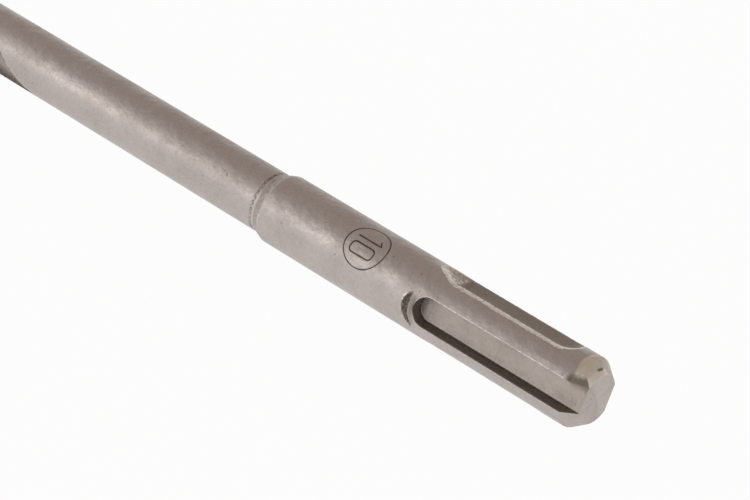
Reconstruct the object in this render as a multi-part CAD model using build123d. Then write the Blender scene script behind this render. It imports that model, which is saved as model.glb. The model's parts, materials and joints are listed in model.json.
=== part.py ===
from build123d import *
import math
import os

# Masonry drill bit with a slotted quick-change shank, in millimetres.
# The bit is built upright, with its shank end face at height 0 and the point up, and is laid down last.
# Seen along the tool from the shank, drilling turns it clockwise.

# Whole tool
overall_length = 210.0

# Shank, shoulder and neck
shank_diameter = 10.0
shank_length = 55.0
end_face_diameter = 7.0
end_chamfer_length = 2.0
neck_diameter = 8.8
shoulder_length = 1.6

# The turned surface starts and ends halfway between a drive slot and a locking groove
seam_angle = 45.0

# Two open drive slots, which run out through the end face
slot_core_thickness = 5.96
slot_floor_width = 3.55
slot_depth_end = 27.3
slot_trailing_draft = 25.8

# Crescent relief round the closed end of each drive slot
relief_radius = 2.75
relief_sideways = 0.6
relief_end = 29.05
relief_depth = 0.4
relief_rim_depth = 0.12

# Two closed grooves for the locking balls
ball_radius = 3.5
groove_core_thickness = 7.6
groove_start = 4.7
groove_end = 27.8
groove_ramp_angle = 18.5

# Two right-hand flutes
# Where the head begins, their lands stand at head_land_angle behind the cutting plate
flute_start = 100.8
flute_lead = 37.6
flute_core_diameter = 5.8
head_land_angle = 40.0
land_angle = 34.0
flute_wall_power = 4

# Head
head_length = 14.0
head_diameter = 9.5
head_neck_length = 2.5
head_groove_radius = 3.3
head_groove_core = 2.3
head_groove_tilt = 12.0
tip_recess = 1.7

# Carbide cutting plate
cutting_diameter = 10.3
plate_thickness = 2.9
plate_height = 10.0
point_angle = 130.0
clearance_angle = 22.0
plate_corner_cut = 0.8
braze_gap = 0.05

# Room by which a cutter passes the surface that it cuts, and by which joined steel runs into steel
overshoot = 1.0
inset = 0.1

# Stations that shape a flute's run-out, as shares of its length, and the share of its width that it starts with
runout_stations = (0, 0.12, 0.28, 0.5, 0.75, 1)
first_width = 0.05

# About how far the spiral turns from one section to the next
section_twist = 45.0

shank_radius = shank_diameter / 2
neck_radius = neck_diameter / 2
head_radius = head_diameter / 2
flute_core_radius = flute_core_diameter / 2
slot_floor = slot_core_thickness / 2
groove_floor = groove_core_thickness / 2
head_base = overall_length - head_length
flute_half_width = 90 - land_angle / 2
runout_length = 2 * flute_half_width * flute_lead / 360
neck_start = shank_length + shoulder_length
point_half_angle = math.radians(point_angle / 2)


def shank_and_neck():
    """The turned shank with its end chamfer, and the neck as far as the flutes: one revolved profile."""
    profile = Polyline(
        (0, 0),
        (end_face_diameter / 2, 0),
        (shank_radius, end_chamfer_length),
        (shank_radius, shank_length),
        (neck_radius, neck_start),
        (neck_radius, flute_start),
        (0, flute_start),
        close=True,
    )
    return Rot(0, 0, seam_angle) * revolve(Plane.XZ * make_face(profile), Axis.Z)


def head_blank():
    """The turned head, a little wider than the spiral, with a cone at each end."""
    cone_apex = overall_length - tip_recess
    cone_base = cone_apex - head_radius / math.tan(point_half_angle)
    profile = Polyline(
        (0, head_base - head_neck_length),
        (flute_core_radius - inset, head_base - head_neck_length),
        (head_radius, head_base),
        (head_radius, cone_base),
        (0, cone_apex),
        close=True,
    )
    return revolve(Plane.XZ * make_face(profile), Axis.Z)


def slot_outline(distance, width, sideways, end):
    """U-shaped outline of a drive slot, on a plane at this distance from the tool's axis."""
    plane = Plane(origin=(distance, sideways, 0), x_dir=(0, 1, 0), z_dir=(1, 0, 0))
    half = width / 2
    bend = end - half
    sides = Polyline((-half, bend), (-half, -overshoot), (half, -overshoot), (half, bend))
    top = ThreePointArc((half, bend), (0, end), (-half, bend))
    return plane * make_face(sides + top)


def drive_slot_cutter():
    """Cutter of one drive slot: a steep driving side, a drafted trailing side and a round end."""
    outer = shank_radius + overshoot
    rise = outer - slot_floor
    spread = rise * math.tan(math.radians(slot_trailing_draft))
    floor = slot_outline(slot_floor, slot_floor_width, 0, slot_depth_end)
    rim = slot_outline(outer, slot_floor_width + spread, -spread / 2, slot_depth_end)
    return loft([floor, rim], ruled=True)


def relief_cutter():
    """Shallow crescent past the slot's closed end, whose floor rises nearly to the shank's surface."""
    middle = relief_end - relief_radius
    plane = Plane(origin=(slot_floor, -relief_sideways, middle), x_dir=(0, 1, 0), z_dir=(1, 0, 0))
    disc = extrude(plane * Circle(relief_radius), shank_radius + overshoot - slot_floor)
    kept = Polyline(
        (0, middle - relief_radius - overshoot),
        (shank_radius - relief_depth, middle - relief_radius - overshoot),
        (shank_radius - relief_depth, slot_depth_end),
        (shank_radius - relief_rim_depth, relief_end + overshoot),
        (0, relief_end + overshoot),
        close=True,
    )
    return disc - revolve(Plane.XZ * make_face(kept), Axis.Z)


def locking_groove_cutter():
    """Cutter of one closed groove: a ball's path, straight and then up a ramp to the surface."""
    height = groove_floor + ball_radius
    reach = math.sqrt(ball_radius**2 - (height - shank_radius) ** 2)
    ramp = math.radians(groove_ramp_angle)
    rise = shank_radius - groove_floor + ball_radius * (1 / math.cos(ramp) - 1)
    first = groove_start + reach
    last = groove_end - rise / math.tan(ramp)
    clear = ball_radius + overshoot
    straight = Plane(origin=(0, height, first)) * extrude(Circle(ball_radius), last - first)
    start = Pos(0, height, first) * Sphere(ball_radius)
    bend = Pos(0, height, last) * Sphere(ball_radius)
    up = Plane(origin=(0, height, last), z_dir=(0, math.sin(ramp), math.cos(ramp)))
    exit_run = up * extrude(Circle(ball_radius), clear / math.sin(ramp))
    return start + straight + bend + exit_run


def flute_section(height, width_share, depth_share):
    """Section across the tool: two lands and two flutes, which have flat floors and steep sides.

    The shares say how much of their full width and depth the flutes have here. A flute's side towards
    the shank follows the helix from its very start, and its other side spreads from the start's place.
    """
    half = flute_half_width * width_share
    full_middle = 90 - head_land_angle - 360 * (head_base - height) / flute_lead
    middle = full_middle + flute_half_width - half
    depth = (neck_radius - flute_core_radius) * depth_share

    def at(share, turn):
        radius = neck_radius - depth * (1 - abs(share) ** flute_wall_power)
        angle = math.radians(turn + middle + share * half)
        return (radius * math.cos(angle), radius * math.sin(angle), height)

    edges = []
    for turn in (0, 180):
        next_land = math.radians(turn + middle + 90)
        land = (neck_radius * math.cos(next_land), neck_radius * math.sin(next_land), height)
        edges.append(Spline(*[at(step / 6, turn) for step in range(-6, 7)]))
        edges.append(ThreePointArc(at(1, turn), land, at(-1, turn + 180)))
    return make_face(edges)


def spiral():
    """The fluted rod, twisted to the right: the flutes' run-out, and then their full section."""
    full = flute_start + runout_length
    length = head_base + inset - full
    runout = []
    for station in runout_stations:
        width = max(station, first_width)
        depth = math.sin(math.pi / 2 * station)
        runout.append(flute_section(flute_start + station * runout_length, width, depth))
    steps = round(360 * length / flute_lead / section_twist)
    twisted = [flute_section(full + length * step / steps, 1, 1) for step in range(steps + 1)]
    return loft(runout) + loft(twisted)


def head_groove_cutter():
    """Chip groove in the head, which carries a flute up past the face of the cutting plate."""
    reach = head_length + overshoot
    groove = Pos(0, head_groove_core + head_groove_radius, -head_neck_length) * extrude(
        Circle(head_groove_radius), reach + head_neck_length
    )
    return Pos(0, 0, head_base) * Rot(0, 0, -head_land_angle) * Rot(0, -head_groove_tilt, 0) * groove


def plate_slot_cutter():
    """Slot across the head, with the brazing gap beside the plate and none under it."""
    bottom = overall_length - plate_height
    width = plate_thickness + 2 * braze_gap
    block = Box(2 * cutting_diameter, width, plate_height + overshoot)
    return Pos(0, 0, bottom + (plate_height + overshoot) / 2) * block


def steel_body():
    """Shank, neck, spiral and head, forged and turned as one piece."""
    pair = [head_groove_cutter(), drive_slot_cutter(), relief_cutter(), locking_groove_cutter()]
    cutters = [Rot(0, 0, side) * cutter for side in (0, 180) for cutter in pair]
    return shank_and_neck() + spiral() + head_blank() - (cutters + [plate_slot_cutter()])


def carbide_tip():
    """Cutting plate with a roof-shaped point: two clearance faces that meet in a chisel edge."""
    half = cutting_diameter / 2
    bottom = overall_length - plate_height
    outline = Polyline(
        (-half + plate_corner_cut, bottom),
        (half - plate_corner_cut, bottom),
        (half, bottom + plate_corner_cut),
        (half, overall_length),
        (-half, overall_length),
        (-half, bottom + plate_corner_cut),
        close=True,
    )
    plate = extrude(Plane.XZ * make_face(outline), plate_thickness / 2, both=True)
    slope = 90 - point_angle / 2
    for side in (0, 180):
        roof = Rot(clearance_angle, slope, 0) * Pos(0, 0, cutting_diameter) * Box(*(3 * [2 * cutting_diameter]))
        plate = plate - Rot(0, 0, side) * Pos(0, 0, overall_length) * roof
    return plate


def laid_down(piece):
    """Lie the tool along X with its point towards -X, one drive slot in front and the plate flat."""
    return Plane(origin=(0, 0, 0), x_dir=(0, -1, 0), z_dir=(-1, 0, 0)) * piece


os.makedirs("parts", exist_ok=True)
pieces = {"steel_body": steel_body(), "carbide_tip": carbide_tip()}
for name, piece in pieces.items():
    export_step(laid_down(piece), f"parts/{name}.step")
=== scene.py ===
import functools
import json
import math

import bpy
from bpy.props import FloatProperty, FloatVectorProperty, IntProperty, PointerProperty
from bpy.types import Operator, Panel, PropertyGroup
from mathutils import Color, Matrix, Vector, kdtree, noise


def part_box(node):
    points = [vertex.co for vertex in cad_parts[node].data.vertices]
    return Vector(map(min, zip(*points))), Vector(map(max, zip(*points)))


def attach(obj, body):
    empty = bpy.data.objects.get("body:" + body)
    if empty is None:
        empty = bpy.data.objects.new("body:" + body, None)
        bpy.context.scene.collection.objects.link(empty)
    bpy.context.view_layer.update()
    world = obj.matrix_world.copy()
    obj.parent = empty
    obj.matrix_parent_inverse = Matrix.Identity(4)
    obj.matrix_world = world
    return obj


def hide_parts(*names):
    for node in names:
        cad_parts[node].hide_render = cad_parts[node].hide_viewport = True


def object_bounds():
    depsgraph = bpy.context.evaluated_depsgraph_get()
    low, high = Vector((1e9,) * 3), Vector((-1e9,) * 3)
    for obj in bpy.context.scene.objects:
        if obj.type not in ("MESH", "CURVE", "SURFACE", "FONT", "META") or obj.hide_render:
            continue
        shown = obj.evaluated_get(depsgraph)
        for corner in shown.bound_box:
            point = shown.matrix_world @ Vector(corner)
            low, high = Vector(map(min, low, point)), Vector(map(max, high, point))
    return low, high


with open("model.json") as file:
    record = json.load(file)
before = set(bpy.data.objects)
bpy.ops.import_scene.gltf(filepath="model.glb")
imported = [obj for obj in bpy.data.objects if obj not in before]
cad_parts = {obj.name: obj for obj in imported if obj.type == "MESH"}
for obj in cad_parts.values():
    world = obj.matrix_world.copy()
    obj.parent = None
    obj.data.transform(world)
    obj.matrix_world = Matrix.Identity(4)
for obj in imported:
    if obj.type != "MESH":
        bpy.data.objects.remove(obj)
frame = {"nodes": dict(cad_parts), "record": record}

bl_info = {
    "name": "Masonry Drill Bit",
    "version": (1, 0, 0),
    "blender": (4, 5, 0),
    "location": "3D View > Sidebar > Drill Bit",
    "description": "Dresses the packed drill bit: blasted steel, cutting plate, studio and camera",
    "category": "Object",
}

# The tool lies along X with its end face at X = 0 and its point towards -X.
# In the mesh code a place on it is given by its distance from the end face, and by x and y across the
# tool: x points out of the front drive slot (world -Y) and y points up (world +Z).

CAD_LOW, CAD_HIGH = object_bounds()
MOUNTS = {mount["name"]: mount for mount in frame["record"]["mounts"]}
SHANK_RADIUS = MOUNTS["shank"]["dims"]["r_mm"] / 1000
PLATE_LOW, PLATE_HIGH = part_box("carbide_tip")
TOOL_LENGTH = -PLATE_LOW[0]
SHANK_LENGTH = 55.0 / 1000
SHOULDER_LENGTH = 1.6 / 1000
MM = 0.001


def length_prop(name, description, default):
    """A size of the tool, in metres."""
    return FloatProperty(name=name, description=description, default=default, unit="LENGTH", precision=5)


def angle_prop(name, description, degrees):
    """An angle, given in degrees."""
    return FloatProperty(name=name, description=description, default=math.radians(degrees), subtype="ANGLE")


def colour_prop(name, description, default):
    """A colour without alpha."""
    return FloatVectorProperty(name=name, description=description, default=default, subtype="COLOR", size=3,
                               min=0.0, max=1.0)


class BitShankSizes(PropertyGroup):
    """Sizes of the shank, its slots and its grooves."""

    radius: length_prop("Radius", "Radius of the shank", SHANK_RADIUS)
    length: length_prop("Length", "End face to the start of the shoulder", SHANK_LENGTH)
    rim_radius: length_prop("End face radius", "Radius of the flat end face", 3.5 * MM)
    chamfer: length_prop("Chamfer", "Length of the end chamfer", 2.0 * MM)
    shoulder: length_prop("Shoulder", "Length of the shoulder cone", SHOULDER_LENGTH)
    slot_floor: length_prop("Slot floor", "Distance of a drive slot's floor from the axis", 2.98 * MM)
    slot_width: length_prop("Slot width", "Width of a drive slot at its floor", 3.55 * MM)
    slot_end: length_prop("Slot end", "Distance of a drive slot's closed end from the end face", 27.3 * MM)
    slot_draft: angle_prop("Slot draft", "Slope of a drive slot's trailing side", 25.8)
    relief_radius: length_prop("Relief radius", "Radius of the crescent relief", 2.75 * MM)
    relief_sideways: length_prop("Relief offset", "Sideways offset of the crescent relief", 0.6 * MM)
    relief_end: length_prop("Relief end", "Far end of the crescent relief", 29.1 * MM)
    relief_depth: length_prop("Relief depth", "Depth of the crescent relief", 0.42 * MM)
    relief_rim: length_prop("Ledge depth", "Depth of the ledge between relief and slot", 0.16 * MM)
    ledge_end: length_prop("Ledge end", "Far end of the ledge", 28.05 * MM)
    ledge_radius: length_prop("Ledge radius", "Radius of the ledge's far edge", 3.6 * MM)
    ball_radius: length_prop("Ball radius", "Radius of a locking groove's section", 3.5 * MM)
    groove_floor: length_prop("Groove floor", "Distance of a locking groove's floor from the axis", 3.8 * MM)
    groove_start: length_prop("Groove start", "Start of a locking groove", 4.7 * MM)
    groove_end: length_prop("Groove end", "End of a locking groove", 27.8 * MM)
    groove_ramp: angle_prop("Groove ramp", "Slope of a locking groove's far end", 18.5)
    groove_bevel: length_prop("Groove bevel", "Width of the bevel outside a locking groove", 0.75 * MM)
    bevel_steep: FloatProperty(name="Steep bevel", description="Bevel's slope, leading side", default=0.35)
    bevel_flat: FloatProperty(name="Flat bevel", description="Bevel's slope, trailing side", default=0.12)
    edge_round: length_prop("Edge rounding", "Rounding of the slots' edges", 0.13 * MM)


class BitSpiralSizes(PropertyGroup):
    """Sizes of the neck, the flutes and the head."""

    neck_radius: length_prop("Neck radius", "Radius of the neck and of the lands", 4.4 * MM)
    core_radius: length_prop("Core radius", "Radius of the flutes' floor", 2.9 * MM)
    start: length_prop("Flute start", "Start of the flutes from the end face", 100.8 * MM)
    lead: length_prop("Lead", "Length of one turn of the spiral", 37.6 * MM)
    half_width: angle_prop("Half width", "Half the angle that a flute takes up", 73.0)
    wall_power: IntProperty(name="Wall power", description="How steep a flute's sides are", default=4, min=2)
    head_length: length_prop("Head length", "Length of the head with the plate", 14.0 * MM)
    head_radius: length_prop("Head radius", "Radius of the head", 4.75 * MM)
    head_neck: length_prop("Head cone", "Length of the cone behind the head", 2.5 * MM)
    head_middle: angle_prop("Head groove angle", "Place of a chip groove at the head", 50.0)
    groove_radius: length_prop("Chip groove radius", "Radius of a chip groove in the head", 3.3 * MM)
    groove_core: length_prop("Chip groove core", "Distance of a chip groove's floor from the axis", 2.3 * MM)
    groove_tilt: angle_prop("Chip groove tilt", "Tilt of a chip groove to the axis", 12.0)
    tip_recess: length_prop("Tip recess", "How far the steel ends behind the point", 1.7 * MM)
    point_half: angle_prop("Half point angle", "Half of the point angle", 65.0)
    braze_gap: length_prop("Braze gap", "Gap beside the cutting plate", 0.05 * MM)


class BitFinish(PropertyGroup):
    """Colours of the steel, its marks and the plate."""

    steel: colour_prop("Steel", "Blasted steel", (0.51, 0.458, 0.438))
    steel_cloudy: colour_prop("Cloudy steel", "Wide darker clouds in the steel", (0.44, 0.38, 0.345))
    steel_patchy: colour_prop("Patchy steel", "Small darker patches", (0.4, 0.345, 0.31))
    steel_specks: colour_prop("Specks", "Fine dark specks", (0.28, 0.235, 0.205))
    # Pale steel is also the colour of the painted glints on edges, laid with the real wear
    steel_pale: colour_prop("Rubbed steel", "Steel rubbed bright on edges", (0.88, 0.82, 0.75))
    steel_straw: colour_prop("Straw tint", "Yellowish tint of the end chamfer", (0.75, 0.69, 0.58))
    worn_rim: colour_prop("Worn rim", "Pale band worn round the end face", (0.86, 0.79, 0.7))
    stain: colour_prop("Stain", "Dark brown stain and pits", (0.12, 0.085, 0.055))
    # Dull steel and scale are also laid as painted shade in slots, corners, grooves, flutes and on the ledge
    dull_steel_and_shade: colour_prop("Dull steel", "Brownish steel on slots' floors and in hollows", (0.435, 0.382, 0.342))
    scale: colour_prop("Scale", "Dark scale left in the slots and hollows", (0.12, 0.09, 0.07))
    foot_ring: colour_prop("Foot ring", "Rough ring at the shoulder's foot", (0.17, 0.13, 0.105))
    shoulder_specks: colour_prop("Shoulder specks", "Dark specks on the shoulder", (0.25, 0.205, 0.17))
    # Painted glints along the shoulder's edges
    shoulder_glints: colour_prop("Shoulder lines", "Bright lines at the shoulder's edges", (0.88, 0.83, 0.77))
    mark: colour_prop("Mark", "Burnt lines of the size mark", (0.07, 0.042, 0.034))
    carbide: colour_prop("Carbide", "Ground carbide", (0.22, 0.22, 0.23))
    carbide_dull: colour_prop("Dull carbide", "Darker clouds in the carbide", (0.13, 0.13, 0.14))
    carbide_lines: colour_prop("Grinding lines", "Paler grinding lines", (0.34, 0.34, 0.35))


class BitStudio(PropertyGroup):
    """Camera and light."""

    azimuth: angle_prop("Azimuth", "Camera's turn round the tool", 33.2375)
    elevation: angle_prop("Elevation", "Camera's height above the horizon", 16.9316)
    roll: angle_prop("Roll", "Camera's roll to the right", 20.2329)
    distance: length_prop("Distance", "Camera to the point that it looks at", 397.6222 * MM)
    lens: FloatProperty(name="Lens", description="Focal length on a 36 mm sensor, in millimetres",
                        default=144.625, subtype="DISTANCE_CAMERA")
    ceiling: colour_prop("Ceiling", "Light from overhead", (0.45, 0.405, 0.37))
    horizon: colour_prop("Horizon", "Light from the room's walls", (1.0, 1.0, 1.0))
    key_watts: FloatProperty(name="Key light", description="Power of the front light", default=0.43,
                             subtype="POWER")


# Shank

# Reach of the rounding at each corner of the turned profile
CORNER_ROUND = 0.14 * MM

# Turned lines, in millimetres: place from the shoulder's foot, depth and width
TURNED_LINES = ((-0.5, 0.035, 0.1), (0.45, 0.055, 0.18), (1.0, 0.02, 0.1))


def turned_radius(distance):
    """Radius of the turned shank, shoulder and neck, with small rounds at the corners."""
    shank, spiral = bpy.context.scene.bit_shank, bpy.context.scene.bit_spiral
    corners = [
        (0.0, shank.rim_radius),
        (shank.chamfer, shank.radius),
        (shank.length, shank.radius),
        (shank.length + shank.shoulder, spiral.neck_radius),
        (TOOL_LENGTH, spiral.neck_radius),
    ]

    def plain(at):
        for (near, r_near), (far, r_far) in zip(corners, corners[1:]):
            if at <= far:
                return r_near + (r_far - r_near) * (at - near) / (far - near)
        return spiral.neck_radius

    if distance < CORNER_ROUND:
        return plain(distance)
    return (plain(distance - CORNER_ROUND) + 2 * plain(distance) + plain(distance + CORNER_ROUND)) / 4


def ring_lines(distance):
    """Depth of the fine turned lines round the shoulder's foot."""
    foot = bpy.context.scene.bit_shank.length + bpy.context.scene.bit_shank.shoulder
    at = (distance - foot) / MM
    return sum(depth * line_at(at - place, width) for place, depth, width in TURNED_LINES) * MM


def groove_radius_at(angle, distance):
    """Distance from the axis to a locking groove's surface; the angle is counted from its middle."""
    shank = bpy.context.scene.bit_shank
    far = 2 * shank.radius
    height = shank.groove_floor + shank.ball_radius
    reach = math.sqrt(shank.ball_radius**2 - (height - shank.radius) ** 2)
    ramp = shank.groove_ramp
    rise = shank.radius - shank.groove_floor + shank.ball_radius * (1 / math.cos(ramp) - 1)
    first = shank.groove_start + reach
    last = shank.groove_end - rise / math.tan(ramp)
    across, up = shank.ball_radius, shank.ball_radius
    if distance < first:
        squared = shank.ball_radius**2 - (first - distance) ** 2
        if squared <= 0:
            return far
        across = up = math.sqrt(squared)
    elif distance > last:
        height += (distance - last) * math.tan(ramp)
        up = shank.ball_radius / math.cos(ramp)
    side, out = math.sin(angle) / across, math.cos(angle) / up
    a = side**2 + out**2
    b = -2 * out * height / up
    c = (height / up) ** 2 - 1
    root = b * b - 4 * a * c
    if root <= 0 or math.cos(angle) <= 0:
        return far
    return (-b - math.sqrt(root)) / (2 * a)


def round_at(radius, angle):
    """Place across the tool at this radius and angle."""
    return radius * math.cos(angle), radius * math.sin(angle)


def grain(x, y, distance, size, seed):
    """Repeatable unevenness between about -1 and 1 with features of this size."""
    return noise.noise(Vector((x / size + seed, y / size, distance / size)))


def limited(share):
    """A share, held between 0 and 1."""
    return min(max(share, 0), 1)


def step_between(value, low, high):
    """Smooth step from 0 at low to 1 at high."""
    share = limited((value - low) / (high - low))
    return share * share * (3 - 2 * share)


def line_at(value, width):
    """Soft line of this half width where the value is 0: 1 in its middle and 0 away from it."""
    return math.exp(-(value / width) ** 2)


# Crescent relief: its trench has ragged edges, two slopes and a thin upper tip.
# The pairs are sideways places between which something fades or thins out.
RAGGED = 0.05 * MM
TRENCH_OUTER_SLOPE = 1.1
TRENCH_INNER_SLOPE = 2.0
LEDGE_OFFSET_TIMES = 1.3
TIP_THINNED = 0.42 * MM
TIP_THINNING = (-0.4 * MM, 1.2 * MM)
TIP_FADE = (0.9 * MM, 1.5 * MM)
RIM_GLINT_FADE = (0.9 * MM, 1.6 * MM)
SHADE_FADE = (0.4 * MM, 1.6 * MM)


def crescent_place(x, y, distance):
    """How far a place lies inside the crescent's outer arc, and how far outside its inner arc."""
    shank = bpy.context.scene.bit_shank
    outer_off = math.hypot(y + shank.relief_sideways, distance - shank.relief_end + shank.relief_radius)
    inner_middle = shank.ledge_end - shank.ledge_radius
    inner_off = math.hypot(y + shank.relief_sideways * LEDGE_OFFSET_TIMES, distance - inner_middle)
    coarse = grain(x, y, distance, 0.35 * MM, 5.0)
    ragged = RAGGED * (coarse + 0.5 * grain(x, y, distance, 0.17 * MM, 8.0))
    from_outer = shank.relief_radius + ragged - outer_off
    thinned = TIP_THINNED * step_between(y, *TIP_THINNING)
    return from_outer, inner_off - shank.ledge_radius - 0.5 * ragged - thinned


def ledge_shade(y, distance, from_outer):
    """Dark share of the ledge, which deepens towards the drive slot's edge."""
    shank = bpy.context.scene.bit_shank
    spread = (shank.radius - shank.slot_floor) * math.tan(shank.slot_draft)
    half = (shank.slot_width + spread) / 2
    beside_slot = math.hypot(y + spread / 2, distance - shank.slot_end + half) - half
    shade = 0.32 + 0.45 * math.exp(-max(beside_slot, 0) / (0.3 * MM))
    shade *= step_between(from_outer, 0.0, 0.3 * MM) * (1 - step_between(y, *SHADE_FADE))
    return shade * step_between(distance, shank.slot_end - 0.6 * MM, shank.slot_end + 0.2 * MM)


def relief_at(x, y, distance):
    """Depth below the shank's surface, bright share and dark share round a drive slot's closed end.

    A crescent trench lies between two arcs, and a slightly sunk ledge between it and the slot. The bright
    share here is painted glint: a rim along the outer arc, lighter on the upper side, and a lip at the inner
    arc. The dark share is the trench's dark scale and the ledge's painted shade.
    """
    shank = bpy.context.scene.bit_shank
    starts = shank.slot_end - 0.9 * MM
    if x <= 0 or distance < starts:
        return 0.0, 0.0, 0.0
    from_outer, from_inner = crescent_place(x, y, distance)
    if from_outer <= -0.3 * MM:
        return 0.0, 0.0, 0.0
    walls = max(from_outer, 0) * TRENCH_OUTER_SLOPE, max(from_inner, 0) * TRENCH_INNER_SLOPE
    trench = min(*walls, shank.relief_depth) * (1 - step_between(y, *TIP_FADE))
    ledge = shank.relief_rim * step_between(from_outer, 0.0, 0.25 * MM)
    ledge *= step_between(distance, starts, shank.slot_end - 0.3 * MM)
    spotted = 0.88 + 0.4 * grain(x, y, distance, 0.4 * MM, 12.0)
    in_trench = step_between(trench, 0.0, 0.07 * MM) * spotted
    # Painted glint along the crescent's outer arc, lighter on the upper side and fading out at the top
    rim = line_at(from_outer + 0.07 * MM, 0.13 * MM) * step_between(from_inner, -0.2 * MM, 0.1 * MM)
    rim *= 0.35 + 0.65 * step_between(y, -0.6 * MM, 0.6 * MM)
    rim *= 1 - step_between(y, *RIM_GLINT_FADE)
    shade = ledge_shade(y, distance, from_outer)
    # Painted highlight along the lip at the inner arc, dimmed under the ledge's painted shade
    lip_glint = line_at(from_inner + 0.1 * MM, 0.09 * MM) * step_between(from_outer, 0.1 * MM, 0.3 * MM)
    lip_glint *= 1 - shade
    return max(trench, ledge), max(1.1 * rim, 0.55 * lip_glint), min(max(in_trench, shade), 1.0)


# How finely a locking groove's edge is searched, and the widest half angle tried
OUTLINE_STEPS = 600
OUTLINE_HALVINGS = 20
WIDEST_HALF = 0.5


@functools.cache
def groove_outline():
    """Search tree of the places on a locking groove's edge, on the unrolled shank."""
    shank = bpy.context.scene.bit_shank
    places = []
    for step in range(1, OUTLINE_STEPS):
        share = (1 - math.cos(math.pi * step / OUTLINE_STEPS)) / 2
        distance = shank.groove_start + (shank.groove_end - shank.groove_start) * share
        if groove_radius_at(0.0, distance) >= shank.radius:
            continue
        low, high = 0.0, WIDEST_HALF
        for _ in range(OUTLINE_HALVINGS):
            middle = (low + high) / 2
            if groove_radius_at(middle, distance) < shank.radius:
                low = middle
            else:
                high = middle
        places.append((distance, low * shank.radius, 0.0))
    tree = kdtree.KDTree(len(places))
    for index, place in enumerate(places):
        tree.insert(place, index)
    tree.balance()
    return tree


def groove_edge(angle, distance, turned):
    """Gap from the turned surface out to a locking groove, and distance from the groove's edge.

    Both are below 0 inside the groove.
    """
    gap = groove_radius_at(angle, distance) - turned
    edge = groove_outline().find((distance, angle * turned, 0.0))[2]
    return gap, edge if gap > 0 else -edge


# Places along a locking groove: where its bevel grows, from the end face, and the rest from its far end
BEVEL_GROWS = (3.6 * MM, 6.4 * MM)
BEVEL_THINS = (-4.0 * MM, -0.5 * MM)
RAMP_STARTS = (-3.5 * MM, -3.1 * MM)
CREASE_PLACE = -3.4 * MM

# Angles from a groove's middle between which its bevel goes from steep to flat
BEVEL_FLATTENS = (-0.2, 0.2)


def groove_surface(place, side, gap, edge, turned):
    """Radius, bright share and dark share in a locking groove and on the crumbled bevel round it. The bright
    share is mostly wear, with a painted highlight along the bevel's outer edge, and the dark share inside
    the groove is painted shade.
    """
    shank = bpy.context.scene.bit_shank
    distance = place[2]
    from_end = distance - shank.groove_end
    crumble = grain(*place, 0.42 * MM, 3.0) + 0.6 * grain(*place, 0.2 * MM, 9.0)
    full = step_between(distance, *BEVEL_GROWS) * (1 - 0.55 * step_between(from_end, *BEVEL_THINS))
    steep = 1 - step_between(side, *BEVEL_FLATTENS)
    width = shank.groove_bevel * (0.3 + 0.7 * full) * (0.5 + 0.5 * steep) * (1 + 0.2 * crumble)
    bevel = (shank.bevel_flat + (shank.bevel_steep - shank.bevel_flat) * steep) * (width - edge)
    inside = -gap - bevel
    on_bevel = step_between(bevel, -0.02 * MM, 0.03 * MM)
    on_bevel *= 1 - step_between(inside, -0.06 * MM, 0.08 * MM)
    ramp = step_between(from_end, *RAMP_STARTS)
    in_groove = step_between(inside, -0.02 * MM, 0.08 * MM)
    crease = line_at(from_end - CREASE_PLACE, 0.15 * MM)
    crease *= step_between(inside, 0.0, 0.05 * MM) * (0.6 + 0.5 * crumble)
    # Painted highlight line along the bevel's outer edge, on top of its wear
    outer_glint = line_at(width - edge - 0.1 * MM, 0.1 * MM)
    rubbed = max(
        on_bevel * (0.9 + 0.6 * crumble + 0.3 * outer_glint),
        0.95 * crease,
        in_groove * ramp * (0.4 + 0.6 * crumble),
    )
    uneven = crumble * MM * (0.04 * full * on_bevel + 0.05 * in_groove * ramp)
    # The dark share is painted shade inside the groove, left out on its rubbed ramp
    return turned - max(0.0, -gap, bevel) + uneven, rubbed, in_groove * 0.45 * (1 - ramp)


def shank_surface(angle, distance):
    """Radius, rubbed share and dark share of the shank's surface outside the drive slots."""
    shank = bpy.context.scene.bit_shank
    turned = turned_radius(distance) - ring_lines(distance)
    x, y = round_at(turned, angle)
    turn = -1 if math.cos(angle) < 0 else 1
    depth, rubbed, dark = relief_at(turn * x, turn * y, distance)
    radius = turned - depth
    if shank.groove_start - MM < distance < shank.groove_end + MM:
        side = angle % math.pi - math.pi / 2
        gap, edge = groove_edge(abs(side), distance, turned)
        if edge < MM:
            radius, rubbed, dark = groove_surface((x, y, distance), side, gap, edge, turned)
    return radius, limited(rubbed), dark


# Least size of what narrows to nothing
LEAST = 0.02 * MM

# Where the search for a drive slot's edge starts, and how often it is repeated
EDGE_GUESS = 4.5 * MM
EDGE_TRIES = 6


def slot_side(x, side, distance):
    """Sideways place of a drive slot's side at the height x; side is 1 on the driving side, else -1."""
    shank = bpy.context.scene.bit_shank
    spread = (x - shank.slot_floor) * math.tan(shank.slot_draft)
    half = (shank.slot_width + spread) / 2
    past = distance - (shank.slot_end - half)
    if past > 0:
        half_here = math.sqrt(max(half * half - past * past, LEAST**2))
    else:
        half_here = half
    return -spread / 2 + side * half_here


def slot_rim(side, distance):
    """Place where a drive slot's side meets the shank's surface."""
    x = math.sqrt(max(turned_radius(distance) ** 2 - slot_side(EDGE_GUESS, side, distance) ** 2, 0))
    for _ in range(EDGE_TRIES):
        y = slot_side(x, side, distance)
        radius = shank_surface(math.atan2(y, x), distance)[0]
        x = math.sqrt(max(radius**2 - y * y, 0))
    return x, slot_side(x, side, distance)


def side_lengths(points):
    """Lengths of a polyline's sides."""
    return [math.dist(a, b) for a, b in zip(points, points[1:])]


def along(points, place):
    """Point at this length along a polyline."""
    start = 0.0
    for a, b, length in zip(points, points[1:], side_lengths(points)):
        if place <= start + length or b is points[-1]:
            share = (place - start) / length if length > 0 else 0
            return (a[0] + (b[0] - a[0]) * share, a[1] + (b[1] - a[1]) * share)
        start += length


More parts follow.
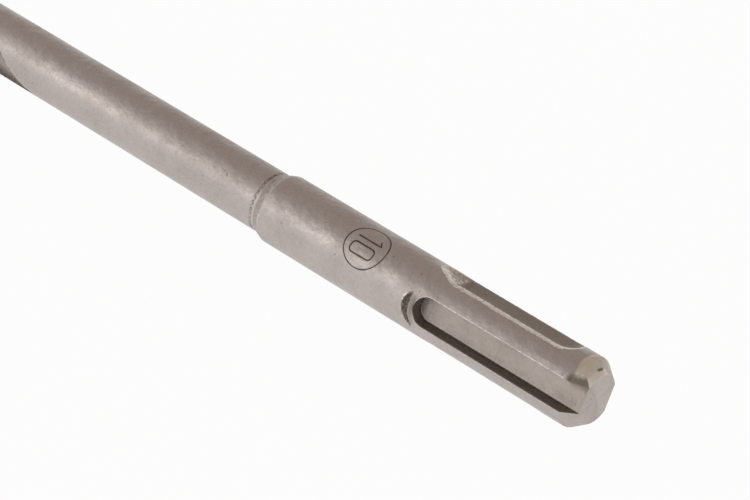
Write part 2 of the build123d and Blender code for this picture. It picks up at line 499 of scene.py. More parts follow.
# Points across a slot, and how dark its floor, walls and the bends between them are: dark scale and dull
# steel, with painted shade on the walls and in the corners, and some on the floor
RIM_STEPS = (-1.0, -0.55, 0.0, 0.55, 1.0)
CORNER_STEPS = (-1.0, 0.0, 1.0)
FLOOR_DARK = 0.15
WALL_DARK = 0.75
CORNER_DARK = (1.0, 0.9, FLOOR_DARK)
TRAILING_DARK = (0.0, 0.0, 0.1, 0.35, 0.6)
DRIVING_DARK = (0.7, 0.2, 0.0, 0.0, 0.0)
TRAILING_RUBBED = 0.3
WALL_POINTS = 4
FLOOR_POINTS = 10
SLOT_POINTS = 2 * (len(RIM_STEPS) + WALL_POINTS + len(CORNER_STEPS)) + FLOOR_POINTS

# Points between two slots: before, over and past the locking groove's band
LAND_SPLIT = (15, 54, 10)
HALF_POINTS = SLOT_POINTS + sum(LAND_SPLIT)
LAND_BAND = (math.radians(48.0), math.radians(132.0))


def rounded(points, corner, offset, reach):
    """Point near a corner of a polyline, on a curve that leaves the sides at this reach from it."""
    place = sum(side_lengths(points)[:corner])
    before = along(points, place - reach)
    after = along(points, place + reach)
    t = (offset + 1) / 2
    here = points[corner]
    return tuple((1 - t) ** 2 * p + 2 * t * (1 - t) * h + t**2 * q for p, h, q in zip(before, here, after))


def slot_points(distance):
    """Points across a drive slot, trailing to driving edge: (x, y, rubbed share, dark share)."""
    shank = bpy.context.scene.bit_shank
    rims = {side: slot_rim(side, distance) for side in (-1, 1)}
    corners = {side: (shank.slot_floor, slot_side(shank.slot_floor, side, distance)) for side in (-1, 1)}
    wall = min(math.dist(rims[side], corners[side]) for side in (-1, 1))
    opening = rims[1][1] - rims[-1][1]
    reach = min(shank.edge_round, 0.3 * wall, 0.2 * opening)

    def beyond(side):
        angle = math.atan2(rims[side][1], rims[side][0]) + side * reach / shank.radius
        return round_at(shank_surface(angle, distance)[0], angle)

    path = [beyond(-1), rims[-1], corners[-1], corners[1], rims[1], beyond(1)]
    lengths = side_lengths(path)
    found = []

    def run(corner, count, dark):
        start = sum(lengths[:corner]) + reach
        span = lengths[corner] - 2 * reach
        for step in range(1, count + 1):
            found.append((*along(path, start + span * step / (count + 1)), 0.0, dark))

    def bend(corner, steps, rubbed, darks):
        for offset, dark in zip(steps, darks):
            found.append((*rounded(path, corner, offset, reach), rubbed * (1 - 0.6 * abs(offset)), dark))

    bend(1, RIM_STEPS, TRAILING_RUBBED, TRAILING_DARK)
    run(1, WALL_POINTS, WALL_DARK)
    bend(2, CORNER_STEPS, 0.0, CORNER_DARK)
    run(2, FLOOR_POINTS, FLOOR_DARK)
    bend(3, CORNER_STEPS, 0.0, CORNER_DARK[::-1])
    run(3, WALL_POINTS, WALL_DARK)
    worn = 0.8 + 0.45 * grain(1.8 * MM, 4.6 * MM, distance, 0.5 * MM, 2.0)
    bend(4, RIM_STEPS, worn, DRIVING_DARK)
    return found


# Just before its closed end a slot's edges are read a last time; past it they spread to these angles
LAST_READ = 0.0005 * MM
OPENED_ANGLES = (math.radians(-29.0), math.radians(21.0))
OPENING_LENGTH = 3 * MM


def slot_edge_angles(distance):
    """Angles of a drive slot's two edges, or where its points are laid past its closed end."""
    shank = bpy.context.scene.bit_shank
    at = min(distance, shank.slot_end - LAST_READ)
    edges = [math.atan2(rim[1], rim[0]) for rim in (slot_rim(-1, at), slot_rim(1, at))]
    opened = limited((distance - shank.slot_end) / OPENING_LENGTH)
    return [edge + (target - edge) * opened for edge, target in zip(edges, OPENED_ANGLES)]


def shank_angles(distance):
    """Angles of one half of the shank's points past the slots, where they all lie on the surface."""
    low, high = slot_edge_angles(distance)
    angles = [low + (high - low) * step / (SLOT_POINTS - 1) for step in range(SLOT_POINTS)]
    return angles + land_angles(high, low + math.pi)


def land_angles(first, last):
    """Angles of the points between two slots, closer together over the locking groove."""
    marks = (first, LAND_BAND[0], LAND_BAND[1], last)
    angles = []
    for count, low, high in zip(LAND_SPLIT, marks, marks[1:]):
        angles += [low + (high - low) * (step + 0.5) / count for step in range(count)]
    return angles


def shank_half(distance):
    """One half of the shank's section: (x, y, rubbed share, dark share) for each point."""
    shank = bpy.context.scene.bit_shank
    points = []
    if distance < shank.slot_end:
        points = slot_points(distance)
        low, high = (math.atan2(point[1], point[0]) for point in (points[0], points[-1]))
        angles = land_angles(high, low + math.pi)
    else:
        angles = shank_angles(distance)
    for angle in angles:
        radius, rubbed, dark = shank_surface(angle, distance)
        points.append((*round_at(radius, angle), rubbed, dark))
    return points


# Neck, spiral and head

FLUTE_POINTS = 52
FIRST_WIDTH = 0.05
LEAST_GROOVE = math.radians(8)

# Points slide from the shank's angles to the flutes' ones from here until this far before the flutes
SLIDE_START = 70 * MM
SLIDE_LEFT = 0.4 * MM


def head_base():
    """Distance from the end face to where the head begins."""
    return TOOL_LENGTH - bpy.context.scene.bit_spiral.head_length


def flute_place(distance):
    """Middle angle, half width and depth of a flute at this distance."""
    spiral = bpy.context.scene.bit_spiral
    at = max(distance, spiral.start)
    runout = 2 * spiral.half_width * spiral.lead / math.tau
    station = min((at - spiral.start) / runout, 1)
    half = spiral.half_width * max(station, FIRST_WIDTH)
    full_middle = spiral.head_middle - math.tau * (head_base() - at) / spiral.lead
    depth = (spiral.neck_radius - spiral.core_radius) * math.sin(math.pi / 2 * station)
    return full_middle + spiral.half_width - half, half, depth


def half_turns():
    """Half turns by which the first flute's points stand ahead of the first slot's."""
    middle, half, _ = flute_place(0)
    return round((middle - half - shank_angles(TOOL_LENGTH)[0]) / math.pi) * math.pi


def chip_groove(distance):
    """Middle angle and distance from the axis of a chip groove's centre in the head."""
    spiral = bpy.context.scene.bit_spiral
    out = spiral.groove_core + spiral.groove_radius
    side = (distance - head_base()) * math.tan(spiral.groove_tilt)
    return spiral.head_middle + math.atan2(side, out), math.hypot(side, out)


def from_nearest(angle):
    """Angle from the nearer of two opposite middles, which stand at 0 and at half a turn."""
    return (angle + math.pi / 2) % math.pi - math.pi / 2


def head_profile(distance):
    """Radius of the turned head with its two cones."""
    spiral = bpy.context.scene.bit_spiral
    apex = TOOL_LENGTH - spiral.tip_recess
    back = (distance - head_base() + spiral.head_neck) / spiral.head_neck
    cone = spiral.core_radius + (spiral.head_radius - spiral.core_radius) * back
    return max(min(cone, spiral.head_radius, (apex - distance) * math.tan(spiral.point_half)), LEAST)


def flute_angles():
    """How the points of one half lie in the spiral: shares across the flute, then across the land."""
    across = [math.sin(math.pi / 2 * (2 * step / (FLUTE_POINTS - 1) - 1)) for step in range(FLUTE_POINTS)]
    land = [(step + 1) / (HALF_POINTS - FLUTE_POINTS + 1) for step in range(HALF_POINTS - FLUTE_POINTS)]
    return across, land


def spiral_half(distance):
    """One half of the section from the neck to the head: (angle, radius, rubbed, dark) for each point."""
    spiral = bpy.context.scene.bit_spiral
    middle, half, depth = flute_place(distance)
    base = head_base()
    groove_middle, groove_out = chip_groove(distance)
    turned = head_profile(distance)
    in_head = limited((distance - base + spiral.head_neck) / spiral.head_neck)
    across, land = flute_angles()
    angles = [middle + share * half for share in across]
    if in_head > 0:
        reach = max(turned, spiral.groove_core * 1.05)
        cosine = (groove_out**2 + reach**2 - spiral.groove_radius**2) / (2 * groove_out * reach)
        groove_half = max(math.acos(min(max(cosine, -1), 1)), LEAST_GROOVE)
        start = spiral.head_middle - math.tau * max(base - distance, 0) / spiral.lead
        there = groove_middle if distance > base else start
        mixed_half = half + (groove_half - half) * in_head
        angles = [there + share * mixed_half for share in across]
    gap = math.pi - (angles[-1] - angles[0])
    angles += [angles[FLUTE_POINTS - 1] + gap * share for share in land]
    points = []
    for angle in angles:
        share = abs(from_nearest(angle - middle)) / half
        radius = spiral.neck_radius
        rubbed = 0.5 * line_at(share - 1.02, 0.03) * min(depth / (0.3 * MM), 1)
        dark = 0.0
        if share < 1:
            radius -= depth * (1 - share**spiral.wall_power)
            # Flute darker: partly oxide, partly painted shade that deepens up its steep walls
            dark = min(depth / (0.15 * MM), 1) * (0.4 + 0.6 * share**2)
        if in_head > 0:
            radius = turned if distance > base else max(radius, turned)
            off = from_nearest(angle - groove_middle)
            root = spiral.groove_radius**2 - (groove_out * math.sin(off)) ** 2
            dark, rubbed = 0.0, 0.0
            if root > 0:
                hollow = groove_out * math.cos(off) - math.sqrt(root)
                dark = 0.3 * step_between(radius - hollow, 0.0, 0.3 * MM)
                radius = min(radius, hollow)
        points.append((angle - half_turns(), radius, rubbed, dark))
    return points


def body_half(distance):
    """One half of the body's section, wherever it is cut."""
    spiral = bpy.context.scene.bit_spiral
    slide_end = spiral.start - SLIDE_LEFT
    if distance < SLIDE_START:
        return shank_half(distance)
    flute = spiral_half(distance)
    if distance >= slide_end:
        return [(*round_at(radius, angle), rubbed, dark) for angle, radius, rubbed, dark in flute]
    share = (distance - SLIDE_START) / (slide_end - SLIDE_START)
    points = []
    for shank_angle, (flute_angle, radius, _, _) in zip(shank_angles(distance), flute):
        angle = shank_angle + (flute_angle - shank_angle) * share
        points.append((*round_at(radius, angle), 0.0, 0.0))
    return points


# Sections round a slot's closed end, rings on the end face, and the least angle of a sharp edge
ROUND_STATIONS = 18
CAP_SCALES = (0.3, 0.6, 0.9, 0.985)
SHARP = math.radians(32)


def evenly(first, spans):
    """Distances from first on, evenly spaced over spans that are given as (end, step)."""
    found = []
    for last, step in spans:
        count = max(1, round((last - first) / step))
        found += [first + (last - first) * index / count for index in range(count)]
        first = last
    return found


def body_stations():
    """Distances from the end face at which the body's section is laid, closest where the shape turns."""
    shank, spiral = bpy.context.scene.bit_shank, bpy.context.scene.bit_spiral
    half = shank.slot_width / 2
    apex = TOOL_LENGTH - spiral.tip_recess
    stations = [0.06 * MM, 0.2 * MM]
    stations += evenly(0.5 * MM, (
        (shank.chamfer - 0.2 * MM, 0.4 * MM),
        (shank.chamfer + 0.3 * MM, 0.1 * MM),
        (shank.groove_start - 0.3 * MM, 0.4 * MM),
        (8.0 * MM, 0.13 * MM),
        (22.5 * MM, 0.2 * MM),
        (shank.slot_end - half, 0.12 * MM),
    ))
    for step in range(ROUND_STATIONS):
        turn = math.pi / 2 * step / ROUND_STATIONS
        stations.append(shank.slot_end - half * (1 - math.sin(turn)))
    stations += [shank.slot_end - 0.0006 * MM, shank.slot_end + 0.001 * MM]
    stations += evenly(shank.slot_end + 0.08 * MM, (
        (shank.relief_end + 0.4 * MM, 0.08 * MM),
        (shank.length - 0.6 * MM, 1.2 * MM),
        (shank.length + shank.shoulder + 1.4 * MM, 0.09 * MM),
        (spiral.start, 2.5 * MM),
        (spiral.start + 15 * MM, 0.35 * MM),
        (head_base() - spiral.head_neck, 1.1 * MM),
        (head_base() + 0.2 * MM, 0.25 * MM),
        (apex - spiral.head_radius / math.tan(spiral.point_half), 0.5 * MM),
        (apex - 0.05 * MM, 0.2 * MM),
    ))
    return stations


def placed(x, y, distance):
    """World place of a point of the section at this distance from the end face."""
    return (-distance, -x, y)


def body_mesh():
    """The steel body as one closed skin over its sections, from the end face to the point."""
    rings, rubbed, dark = [], [], []
    for distance in body_stations():
        half = body_half(distance)
        whole = half + [(-x, -y, r, d) for x, y, r, d in half]
        rings.append([placed(x, y, distance) for x, y, _, _ in whole])
        rubbed.append([r for _, _, r, _ in whole])
        dark.append([d for _, _, _, d in whole])
    count = len(rings[0])
    caps = [[(0.0, y * scale, z * scale) for _, y, z in rings[0]] for scale in CAP_SCALES]
    rings = caps + rings
    blank = [[0.0] * count] * len(caps)
    vertices = [place for ring in rings for place in ring]
    ends = (len(vertices), len(vertices) + 1)
    vertices += [(0.0, 0.0, 0.0), (rings[-1][0][0] - 0.01 * MM, 0.0, 0.0)]
    faces = []
    last = (len(rings) - 1) * count
    for start in range(0, last, count):
        for column in range(count):
            a, b = start + column, start + (column + 1) % count
            faces.append((a, a + count, b + count, b))
    for column in range(count):
        after = (column + 1) % count
        faces.append((ends[0], column, after))
        faces.append((ends[1], last + after, last + column))
    mesh = bpy.data.meshes.new("steel_bit")
    mesh.from_pydata(vertices, [], faces)
    # One share holds wear and painted glints, the other scale and painted shade
    for name, rows in (("rubbed", blank + rubbed), ("dark", blank + dark)):
        layer = mesh.attributes.new(name=name, type="FLOAT", domain="POINT")
        layer.data.foreach_set("value", [value for row in rows for value in row] + [0.0, 0.0])
    mesh.validate()
    mesh.shade_smooth()
    mesh.set_sharp_from_angle(angle=SHARP)
    return mesh


def add_piece(name, mesh):
    """A new object in the scene, at the origin."""
    piece = bpy.data.objects.new(name, mesh)
    bpy.context.scene.collection.objects.link(piece)
    return piece


def box_mesh(name, low, high):
    """A closed box between two corners."""
    corners = [(x, y, z) for x in (low[0], high[0]) for y in (low[1], high[1]) for z in (low[2], high[2])]
    faces = [(0, 1, 3, 2), (4, 6, 7, 5), (0, 4, 5, 1), (2, 3, 7, 6), (0, 2, 6, 4), (1, 5, 7, 3)]
    mesh = bpy.data.meshes.new(name)
    mesh.from_pydata(corners, [], faces)
    return mesh


def cut_plate_slot(piece):
    """Cuts the cutting plate's slot out of the head."""
    gap = bpy.context.scene.bit_spiral.braze_gap
    low = (PLATE_LOW[0] - MM, PLATE_LOW[1] - MM, PLATE_LOW[2] - gap)
    high = (PLATE_HIGH[0], PLATE_HIGH[1] + MM, PLATE_HIGH[2] + gap)
    cutter = add_piece("slot_cutter", box_mesh("slot_cutter", low, high))
    cut = piece.modifiers.new("slot", "BOOLEAN")
    cut.operation = "DIFFERENCE"
    cut.solver = "EXACT"
    cut.object = cutter
    level = piece.modifiers.new("level", "WEIGHTED_NORMAL")
    level.keep_sharp = True
    shaped = bpy.data.meshes.new_from_object(piece.evaluated_get(bpy.context.evaluated_depsgraph_get()))
    piece.modifiers.clear()
    piece.data = shaped
    bpy.data.objects.remove(cutter)


# Finishes


class Nodes:
    """A node tree that is put together with short calls."""

    def __init__(self, owner):
        owner.use_nodes = True
        self.nodes, self.links = owner.node_tree.nodes, owner.node_tree.links

    def feed(self, socket, value):
        """Links an output to this socket, or sets its constant."""
        if isinstance(value, bpy.types.NodeSocket):
            self.links.new(value, socket)
        else:
            socket.default_value = (*value, 1.0) if isinstance(value, Color) else value

    def put(self, kind, inputs=(), **settings):
        """A new node with these settings, and with its inputs fed by name or number."""
        node = self.nodes.new("ShaderNode" + kind)
        for name, value in settings.items():
            setattr(node, name, value)
        for name, value in dict(inputs).items():
            self.feed(node.inputs[name], value)
        return node

    def sum(self, operation, *values, clamp=False):
        """Result of a sum on one or two values."""
        return self.put("Math", enumerate(values), operation=operation, use_clamp=clamp).outputs[0]

    def times(self, *values):
        """Product of two or more values."""
        return functools.reduce(functools.partial(self.sum, "MULTIPLY"), values)

    def off(self, value, middle):
        """How far a value lies from this middle, on either side."""
        return self.sum("ABSOLUTE", self.sum("SUBTRACT", value, middle))

    def length(self, first, second):
        """Length of a line with these two sides."""
        return self.sum("SQRT", self.sum("ADD", self.times(first, first), self.times(second, second)))

    def ramp(self, value, low, high, out_low=0.0, out_high=1.0):
        """Smooth change from out_low to out_high, while the value goes from low to high."""
        inputs = {"Value": value, "From Min": low, "From Max": high, "To Min": out_low, "To Max": out_high}
        return self.put("MapRange", inputs, interpolation_type="SMOOTHSTEP").outputs["Result"]

    def band(self, value, middle, far, near):
        """Soft band that is full within near of its middle, and gone beyond far."""
        return self.ramp(self.off(value, middle), far, near)

    def blend(self, share, first, second):
        """Colour that goes from the first to the second by this share."""
        inputs = {"Factor": share, "A": first, "B": second}
        return self.put("Mix", inputs, data_type="RGBA").outputs["Result"]

    def split(self, vector):
        """The three parts of a vector."""
        return self.put("SeparateXYZ", {0: vector}).outputs

    def cloud(self, place, scale, detail, rough):
        """Soft noise round 0.5, with about this many features in a metre."""
        inputs = {"Vector": place, "Scale": scale, "Detail": detail, "Roughness": rough}
        return self.put("TexNoise", inputs).outputs["Fac"]

    def stretched(self, place, scale):
        """Places scaled by one factor for each axis."""
        return self.put("Mapping", {"Vector": place, "Scale": scale}).outputs["Vector"]

    def bump(self, height, strength, distance, normal=None):
        """Normal that is tilted by this height, on top of the bumps so far."""
        inputs = {"Strength": strength, "Distance": distance, "Height": height}
        if normal is not None:
            inputs["Normal"] = normal
        return self.put("Bump", inputs).outputs["Normal"]


class Finish(Nodes):
    """A metal's material, whose colours are laid over each other."""

    def __init__(self, name, colour):
        self.material = bpy.data.materials.new(name)
        super().__init__(self.material)
        self.place = self.put("TexCoord").outputs["Object"]
        self.colour = colour

    def lay(self, share, colour):
        """Lays a colour over the ones so far, by this share."""
        self.colour = self.blend(share, self.colour, colour)

    def done(self, metallic, roughness, normal):
        """The material, once its shader has everything."""
        inputs = self.nodes["Principled BSDF"].inputs
        self.feed(inputs["Base Color"], self.colour)
        self.feed(inputs["Metallic"], metallic)
        self.feed(inputs["Roughness"], roughness)
        self.feed(inputs["Normal"], normal)
        return self.material


# Size mark: a ring with the plain number 10 in it, in millimetres on the unrolled shank
MARK_DISTANCE = 37.8
MARK_ANGLE = math.radians(38.3)
RING_RADIUS = 3.25
RING_THINNED = 0.02
ZERO_MIDDLE = (0.16, -0.79)
ZERO_HALF = (1.9, 0.8)
ZERO_CORNER = 0.62
ONE_TOP = (-1.86, 0.93)
ONE_FOOT = (1.97, 0.93)
ONE_FLAG = (-1.42, 1.5)


def stroke(steel, spot, start, end):
    """Distance from a straight stroke between two places."""
    length = math.dist(start, end)
    c, d = (end[0] - start[0]) / length, (end[1] - start[1]) / length
    ahead, aside = (steel.sum("SUBTRACT", place, first) for place, first in zip(spot, start))
    run = steel.sum("ADD", steel.times(ahead, c), steel.times(aside, d))
    off = steel.sum("SUBTRACT", steel.times(aside, c), steel.times(ahead, d))
    past = steel.sum("SUBTRACT", steel.off(run, length / 2), length / 2)
    return steel.length(steel.sum("MAXIMUM", past, 0.0), off)


def outline(steel, spot, middle, half, corner):
    """Distance from the line of a rounded rectangle."""
    far = []
    for place, centre, size in zip(spot, middle, half):
        far.append(steel.sum("SUBTRACT", steel.off(place, centre), size - corner))
    outside = steel.length(*(steel.sum("MAXIMUM", side, 0.0) for side in far))
    inside = steel.sum("MINIMUM", steel.sum("MAXIMUM", *far), 0.0)
    return steel.off(steel.sum("ADD", outside, inside), corner)


def size_mark(steel, spot):
    """Distance from the nearest line of the size mark."""
    lines = (
        steel.sum("ADD", steel.off(steel.length(*spot), RING_RADIUS), RING_THINNED),
        outline(steel, spot, ZERO_MIDDLE, ZERO_HALF, ZERO_CORNER),
        stroke(steel, spot, ONE_TOP, ONE_FOOT),
        stroke(steel, spot, ONE_TOP, ONE_FLAG),
    )
    return functools.reduce(functools.partial(steel.sum, "MINIMUM"), lines)


# Places in the steel's colour, in millimetres, and the nick's angle in radians
RIM = 3.5
RIM_BAND = 0.5
NICK_ANGLE = 1.38
RING_PAST_FOOT = 0.45
CONE_BEFORE_FOOT = 0.7
FOOT_LINE = 0.08
TOP_LINE = 1.52
BLOTCH_HEIGHT = 1.95


class BlastedSteel(Finish):
    """Warm grey with fine grain, cloudy tone, pits, rubbed edges and a straw-tinted chamfer."""

    def __init__(self):
        self.look = bpy.context.scene.bit_finish
        super().__init__("blasted_steel", self.look.steel)
        x, self.y, z = self.split(self.place)
        self.rubbed, self.dark = (
            self.put("Attribute", attribute_name=name).outputs["Fac"] for name in ("rubbed", "dark")
        )
        self.distance = self.times(x, -1 / MM)
        self.angle = self.sum("ARCTAN2", z, self.times(self.y, -1.0))
        self.height = self.times(z, 1 / MM)
        self.radius = self.times(self.length(self.y, z), 1 / MM)
        self.tone = self.cloud(self.place, 170, 5, 0.6)
        self.fine = self.cloud(self.place, 5200, 3, 0.6)
        self.speckle = self.cloud(self.place, 2300, 4, 0.7)
        self.patch = self.cloud(self.place, 900, 4, 0.6)

    def finished(self):
        """The material with every layer in its order."""
        self.add_tone()
        self.add_chamfer()
        self.add_shoulder()
        self.add_wear()
        pits = self.add_blotch_and_pits()
        mark = self.add_mark()
        roughness = self.sum(
            "ADD", self.ramp(self.tone, 0.3, 0.7, 0.4, 0.52), self.ramp(self.speckle, 0.3, 0.7, -0.03, 0.05)
        )
        hollow_roughness = self.times(self.sum("MINIMUM", self.dark, 0.3), 0.6)
        return self.done(1.0, self.sum("ADD", roughness, hollow_roughness, clamp=True), self.bumps(pits, mark))

    def add_tone(self):
        """Clouds, patches and specks over the plain steel."""
        self.lay(self.ramp(self.tone, 0.3, 0.7, 0.0, 0.3), self.look.steel_cloudy)
        self.lay(self.ramp(self.patch, 0.35, 0.65, 0.0, 0.16), self.look.steel_patchy)
        self.lay(self.ramp(self.speckle, 0.5, 0.7, 0.0, 0.2), self.look.steel_specks)
        self.lay(self.ramp(self.fine, 0.5, 0.75, 0.0, 0.14), self.look.steel_pale)

    def add_chamfer(self):
        """End chamfer: straw tint on its upper side, and a worn rim with a nick in it."""
        angle, radius = self.angle, self.radius
        heated = self.sum("SUBTRACT", self.distance, self.ramp(angle, 0.5, 1.2, 2.05, 2.75))
        upper = self.times(
            self.ramp(angle, 0.3, 0.5), self.ramp(angle, 1.75, 1.25, 0.25, 1.0), self.ramp(angle, 2.4, 2.1)
        )
        straw = self.times(self.ramp(heated, 0.12, -0.12), self.ramp(radius, RIM, RIM + 0.06), upper, 0.8)
        self.lay(straw, self.look.steel_straw)
        worn = self.times(
            self.ramp(radius, RIM + RIM_BAND + 0.06, RIM + RIM_BAND - 0.06),
            self.ramp(radius, RIM - 0.06, RIM),
            self.ramp(angle, 0.42, 0.6),
            self.ramp(angle, 1.85, 1.5),
            self.ramp(self.distance, 1.6, 1.2, 0.0, 0.85),
        )
        self.lay(worn, self.look.worn_rim)
        nick = self.times(
            self.band(radius, RIM + RIM_BAND + 0.02, 0.17, 0.05),
            self.band(angle, NICK_ANGLE, 0.2, 0.06),
            self.ramp(self.distance, 1.6, 1.2),
            0.8,
        )
        self.lay(nick, self.look.stain)

    def add_shoulder(self):
        """Rough dark ring past the shoulder's foot, specks on its cone, and painted glints as bright broken
        lines at its edges.
        """
        distance, speckle = self.distance, self.speckle
        foot = (SHANK_LENGTH + SHOULDER_LENGTH) / MM
        ring = self.band(distance, foot + RING_PAST_FOOT, 0.36, 0.08)
        self.lay(self.times(ring, self.ramp(speckle, 0.42, 0.6, 0.1, 0.9)), self.look.foot_ring)
        cone = self.band(distance, foot - CONE_BEFORE_FOOT, 0.8, 0.5)
        self.lay(self.times(cone, self.ramp(speckle, 0.35, 0.65, 0.15, 0.6)), self.look.shoulder_specks)
        # Painted glints at the shoulder's foot and top edges, broken up by noise
        at_foot = self.band(distance, foot - FOOT_LINE, 0.12, 0.04)
        at_top = self.band(distance, foot - TOP_LINE, 0.14, 0.04)
        broken = self.times(
            self.ramp(self.cloud(self.place, 420, 2, 0.5), 0.46, 0.6, 0.05, 0.6),
            self.ramp(speckle, 0.35, 0.6, 0.3, 1.0),
        )
        self.lay(self.times(self.sum("MAXIMUM", at_foot, at_top), broken), self.look.shoulder_glints)

    def add_wear(self):
        """Rubbed edges with painted glints, and dark scale and dull steel with painted shade in slots and
        hollows.
        """
        scratched = self.ramp(self.speckle, 0.36, 0.66, -0.5, 0.45)
        bright = self.ramp(self.sum("ADD", self.rubbed, scratched), 0.15, 0.85)
        self.lay(self.times(bright, self.ramp(self.rubbed, 0.02, 0.2), 0.85), self.look.steel_pale)
        # The dark share is partly scale and dull steel, partly painted shade
        self.lay(self.ramp(self.dark, 0.05, 0.15, 0.0, 0.75), self.look.dull_steel_and_shade)
        scale = self.times(self.ramp(self.dark, 0.15, 1.0), self.ramp(self.speckle, 0.4, 0.6, 0.75, 0.97))
        self.lay(scale, self.look.scale)

    def add_blotch_and_pits(self):
        """Dark brown blotch beside the front slot's edge, and pits, whose share it returns."""
        ragged = self.times(self.sum("SUBTRACT", self.patch, 0.5), 1.2)
        beside = self.ramp(self.sum("ADD", self.off(self.height, BLOTCH_HEIGHT), ragged), 1.25, 0.35)
        near_end = self.times(self.ramp(self.distance, 3.1, 2.3), self.ramp(self.y, -2.9 * MM, -3.05 * MM))
        self.lay(self.times(beside, near_end, 0.8), self.look.stain)
        crowd = self.ramp(self.tone, 0.45, 0.65, 0.0, 0.06)
        pits = self.ramp(self.sum("ADD", self.cloud(self.place, 2100, 2, 0.5), crowd), 0.73, 0.785)
        self.lay(self.times(pits, 0.5), self.look.stain)
        return pits

    def add_mark(self):
        """Burnt lines of the size mark on the front, whose share it returns."""
        across = self.times(self.sum("SUBTRACT", self.angle, MARK_ANGLE), SHANK_RADIUS / MM)
        spot = (self.sum("SUBTRACT", self.distance, MARK_DISTANCE), across)
        line = self.sum("ADD", size_mark(self, spot), self.ramp(self.patch, 0.3, 0.7, 0.0, 0.035))
        mark = self.times(self.ramp(line, 0.185, 0.08), self.ramp(self.y, 0.0, -0.2 * MM))
        self.lay(self.times(mark, 0.92), self.look.mark)
        return mark

    def bumps(self, pits, mark):
        """Bumps of the blasting, the grain, the pits, the drawn lines, the mark and the scale."""
        drawn = self.cloud(self.stretched(self.place, (0.06, 1.0, 1.0)), 1900, 3, 0.6)
        normal = None
        for height, strength, depth in (
            (self.cloud(self.place, 520, 3, 0.5), 0.8, 0.25),
            (self.patch, 0.6, 0.075),
            (self.fine, 0.35, 0.012),
            (self.times(pits, -1.0), 0.5, 0.04),
            (drawn, 0.15, 0.01),
            (self.times(mark, -1.0), 0.5, 0.03),
            (self.times(self.speckle, self.dark), 0.5, 0.08),
        ):
            normal = self.bump(height, strength, depth * MM, normal)
        return normal


def carbide_finish():
    """Dark grey ground carbide with fine grinding lines and dull sides."""
    look = bpy.context.scene.bit_finish
    carbide = Finish("ground_carbide", look.carbide)
    lines = carbide.cloud(carbide.stretched(carbide.place, (0.2, 1.0, 1.0)), 2600, 3, 0.6)
    tone = carbide.cloud(carbide.place, 420, 4, 0.6)
    carbide.lay(carbide.ramp(tone, 0.3, 0.7, 0.0, 0.5), look.carbide_dull)
    carbide.lay(carbide.ramp(lines, 0.5, 0.7, 0.0, 0.3), look.carbide_lines)
    return carbide.done(0.85, carbide.ramp(tone, 0.3, 0.7, 0.34, 0.5), carbide.bump(lines, 0.3, 0.01 * MM))


# Operators


class BIT_OT_steel_body(Operator):
    """Build the steel body's fine skin and its blasted finish"""

    bl_idname = "bit.steel_body"
    bl_label = "Steel body"

    def execute(self, context):
        piece = add_piece("steel_bit", body_mesh())
        cut_plate_slot(piece)
        piece.data.materials.clear()
        piece.data.materials.append(BlastedSteel().finished())
        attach(piece, "root")
        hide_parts("steel_body")
        return {"FINISHED"}


class BIT_OT_cutting_plate(Operator):
    """Give the cutting plate its ground carbide finish"""

    bl_idname = "bit.cutting_plate"
    bl_label = "Cutting plate"

    def execute(self, context):
        plate = frame["nodes"]["carbide_tip"]
        plate.data.materials.clear()
        plate.data.materials.append(carbide_finish())
        return {"FINISHED"}


def camera_axes():
    """World directions from the studio's angles: right, up and back of the camera."""
    studio = bpy.context.scene.bit_studio
    turn, lift = studio.azimuth, studio.elevation
    back = Vector((math.sin(turn) * math.cos(lift), -math.cos(turn) * math.cos(lift), math.sin(lift)))
    right = Vector((math.cos(turn), math.sin(turn), 0))
    up = back.cross(right)
    c, s = math.cos(studio.roll), math.sin(studio.roll)
    return right * c + up * s, up * c - right * s, back


LOOK_AT = Vector((-39.2885 * MM, 0.5911 * MM, 1.6242 * MM))

FLOOR_HALF = 6.0
FLOOR_PAINT = (0.86, 0.86, 0.86, 1.0)
FLOOR_WHITE = 0.96

# Heights, as the sine of the angle above the horizon, between which the room darkens
OVERHEAD = (0.15, 0.75)

# Front light: what it looks at, where it stands from there, its colour and its sides
KEY_TARGET = Vector((-60 * MM, 0, 0))
KEY_OFFSET = Vector((-0.42, -0.64, 0.05))
KEY_COLOUR = (1.0, 0.95, 0.88)
KEY_SIDES = (0.5, 0.16)


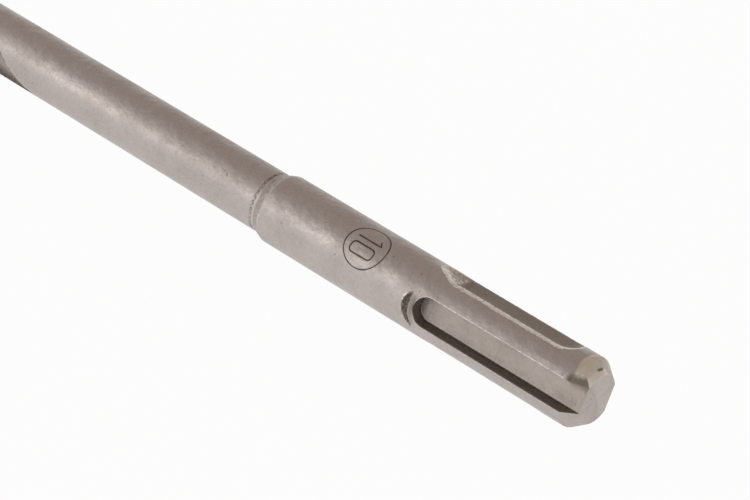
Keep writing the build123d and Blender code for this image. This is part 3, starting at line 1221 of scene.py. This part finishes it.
class BIT_OT_studio(Operator):
    """Set up the floor, the light and the photograph's camera"""

    bl_idname = "bit.studio"
    bl_label = "Studio"

    def execute(self, context):
        scene = context.scene
        studio = scene.bit_studio
        scene.view_settings.view_transform = "Standard"
        self.add_camera(scene, studio)
        self.add_floor()
        self.add_world(scene, studio)
        self.add_key(studio)
        return {"FINISHED"}

    def add_camera(self, scene, studio):
        """The photograph's camera."""
        data = bpy.data.cameras.new("camera")
        data.lens = studio.lens
        data.sensor_width = 36.0
        data.clip_start = 0.01
        data.clip_end = 50.0
        camera = bpy.data.objects.new("camera", data)
        right, up, back = camera_axes()
        turned = Matrix((right, up, back)).transposed().to_4x4()
        camera.matrix_world = Matrix.Translation(LOOK_AT + back * studio.distance) @ turned
        scene.collection.objects.link(camera)
        scene.camera = camera

    def add_floor(self):
        """White floor under the tool."""
        mesh = bpy.data.meshes.new("floor")
        signs = ((-1, -1), (1, -1), (1, 1), (-1, 1))
        corners = [(x * FLOOR_HALF, y * FLOOR_HALF, CAD_LOW[2]) for x, y in signs]
        mesh.from_pydata(corners, [], [(0, 1, 2, 3)])
        floor = add_piece("floor", mesh)
        mesh.materials.append(self.floor_finish())

    def floor_finish(self):
        """Paint that shows as white to the camera and in the steel, and keeps a faint shadow."""
        material = bpy.data.materials.new("white_floor")
        floor = Nodes(material)
        floor.nodes.clear()
        paint = floor.put("BsdfDiffuse", {"Color": FLOOR_PAINT})
        glow = floor.put("Emission", {"Color": (1.0, 1.0, 1.0, 1.0)})
        path = floor.put("LightPath").outputs
        seen = floor.sum("MAXIMUM", path["Is Camera Ray"], path["Is Glossy Ray"])
        share = floor.times(seen, FLOOR_WHITE)
        mix = floor.put("MixShader", {0: share, 1: paint.outputs[0], 2: glow.outputs[0]})
        floor.put("OutputMaterial", {"Surface": mix.outputs[0]})
        return material

    def add_world(self, scene, studio):
        """Plain room: white round the horizon, darker overhead."""
        scene.world = bpy.data.worlds.new("studio")
        room = Nodes(scene.world)
        room.nodes.clear()
        up = room.split(room.put("TexCoord").outputs["Generated"])["Z"]
        colour = room.blend(room.ramp(up, *OVERHEAD), studio.horizon, studio.ceiling)
        sky = room.put("Background", {"Color": colour})
        room.put("OutputWorld", {"Surface": sky.outputs[0]})

    def add_key(self, studio):
        """Soft front light, low on the point's side, which makes the pale band along the tool."""
        data = bpy.data.lights.new("key", "AREA")
        data.energy = studio.key_watts
        data.color = KEY_COLOUR
        data.shape = "RECTANGLE"
        data.size, data.size_y = KEY_SIDES
        key = bpy.data.objects.new("key", data)
        key.location = KEY_TARGET + KEY_OFFSET
        key.rotation_mode = "QUATERNION"
        key.rotation_quaternion = (-KEY_OFFSET).to_track_quat("-Z", "Y")
        bpy.context.scene.collection.objects.link(key)


class BIT_PT_panel(Panel):
    """Lists what builds the drill bit and its studio"""

    bl_idname = "BIT_PT_panel"
    bl_label = "Drill Bit"
    bl_space_type = "VIEW_3D"
    bl_region_type = "UI"
    bl_category = "Drill Bit"

    def draw(self, context):
        for step in STEPS:
            self.layout.operator(step.bl_idname)
        for group in GROUPS:
            box = self.layout.box()
            settings = getattr(context.scene, group)
            for name in settings.__annotations__:
                box.prop(settings, name)


STEPS = (BIT_OT_studio, BIT_OT_steel_body, BIT_OT_cutting_plate)
GROUPS = {
    "bit_shank": BitShankSizes,
    "bit_spiral": BitSpiralSizes,
    "bit_finish": BitFinish,
    "bit_studio": BitStudio,
}
CLASSES = (*GROUPS.values(), *STEPS, BIT_PT_panel)


def register():
    """Adds the classes, and their settings to the scene."""
    for item in CLASSES:
        bpy.utils.register_class(item)
    for name, group in GROUPS.items():
        setattr(bpy.types.Scene, name, PointerProperty(type=group))


def unregister():
    """Takes the settings and the classes out again."""
    for name in GROUPS:
        delattr(bpy.types.Scene, name)
    for item in reversed(CLASSES):
        bpy.utils.unregister_class(item)


def main():
    """Builds the studio and both pieces."""
    register()
    bpy.ops.bit.studio()
    bpy.ops.bit.steel_body()
    bpy.ops.bit.cutting_plate()


if __name__ == "__main__":
    main()
